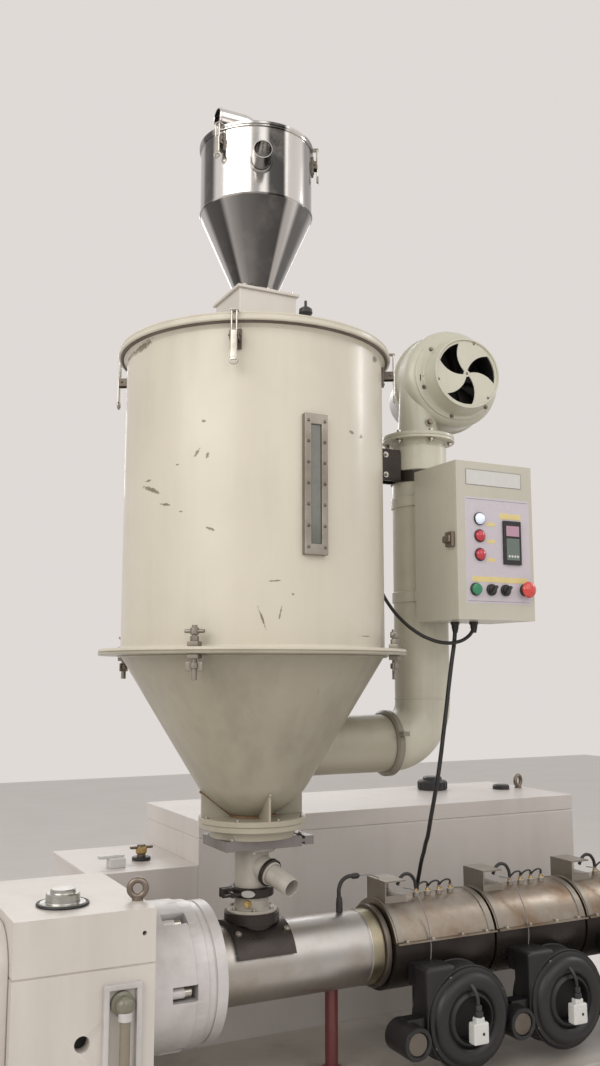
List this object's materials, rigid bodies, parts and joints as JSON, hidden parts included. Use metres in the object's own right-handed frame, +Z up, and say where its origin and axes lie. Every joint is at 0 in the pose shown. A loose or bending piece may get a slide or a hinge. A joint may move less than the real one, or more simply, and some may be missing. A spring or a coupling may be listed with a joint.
{
  "type": "plastic extruder with hopper dryer and vacuum loader",
  "caption": "Single-screw plastic extruder with a hot-air hopper dryer and a vacuum loader mounted on its feed throat.",
  "frame": {"origin": "on the floor under the hopper's vertical axis", "axes": "+X along the barrel towards the die, +Y away from the operator's side, +Z up"},
  "size_m": [3.531, 1.187, 3.28],
  "materials": {
    "cream_paint": "semi-gloss cream paint, scuffed",
    "white_paint": "warm white machine paint",
    "silver_paint": "silver machine paint",
    "bare_steel": "satin, light tarnish",
    "polished_steel": "polished stainless",
    "heater_steel": "heat-tinted sheet",
    "dark_casting": "oily dark casting",
    "black_plastic": "matt black",
    "black_rubber": "matt cable sheath",
    "red_paint": "dark red paint",
    "white_plastic": "white connector plastic",
    "window_glass": "dusty glass"
  },
  "bodies": {
    "machine": {"base_housing": "cream_paint", "base_panels": "white_paint", "gearbox_housing": "white_paint", "gearbox_fittings": "bare_steel", "oil_sight_gauge": "bare_steel", "output_flange": "silver_paint", "coupling_guard": "white_paint", "drive_motor": "silver_paint", "motor_feet": "silver_paint", "motor_terminal_box": "silver_paint", "feed_barrel": "polished_steel", "feed_throat": "dark_casting", "feed_pipe": "silver_paint", "feed_pipe_clamps": "black_plastic", "gate_housing": "bare_steel", "barrel_tube": "bare_steel", "die_flange": "bare_steel", "heater_covers": "heater_steel", "lower_cowls": "dark_casting", "heater_terminals": "bare_steel", "zone_fans": "black_plastic", "fan_connectors": "white_plastic", "barrel_support": "white_paint", "cooling_riser": "red_paint", "rear_cabinet": "cream_paint", "rear_tank": "cream_paint", "cabinet_fittings": "black_plastic", "hopper_foot_ring": "cream_paint", "hopper_outlet": "cream_paint", "cone_ring": "cream_paint", "drum_ring": "cream_paint", "hopper_cone": "cream_paint", "air_inlet": "cream_paint", "hopper_drum": "cream_paint", "flange_clamps": "bare_steel", "hopper_lid": "cream_paint", "toggle_latches": "bare_steel", "sight_window": "bare_steel", "sight_glass": "window_glass", "lid_adaptor": "cream_paint", "loader_cone": "polished_steel", "loader_body": "polished_steel", "loader_lid": "polished_steel", "vacuum_elbow": "polished_steel", "air_elbow": "cream_paint", "duct_clamps": "dark_casting", "heater_tube": "cream_paint", "blower_housing": "cream_paint", "inlet_collar": "cream_paint", "blower_guard": "cream_paint", "blower_motor": "silver_paint", "control_box": "cream_paint", "sensor_cable": "black_rubber", "supply_cable": "black_rubber"},
    "gate": {"gate_plate": "bare_steel"},
    "door": {"control_door": "cream_paint", "door_controls": "black_plastic"}
  },
  "joints": [
    {"name": "gate_slide", "type": "slide", "parent": "machine", "child": "gate", "axis": [1, 0, 0], "range_m": [0, 0.135]},
    {"name": "door_hinge", "type": "hinge", "parent": "machine", "child": "door", "pos_m": [0.719, -0.26375, 2.074], "axis": [0, 0, 1], "range_deg": [0, 110]}
  ]
}
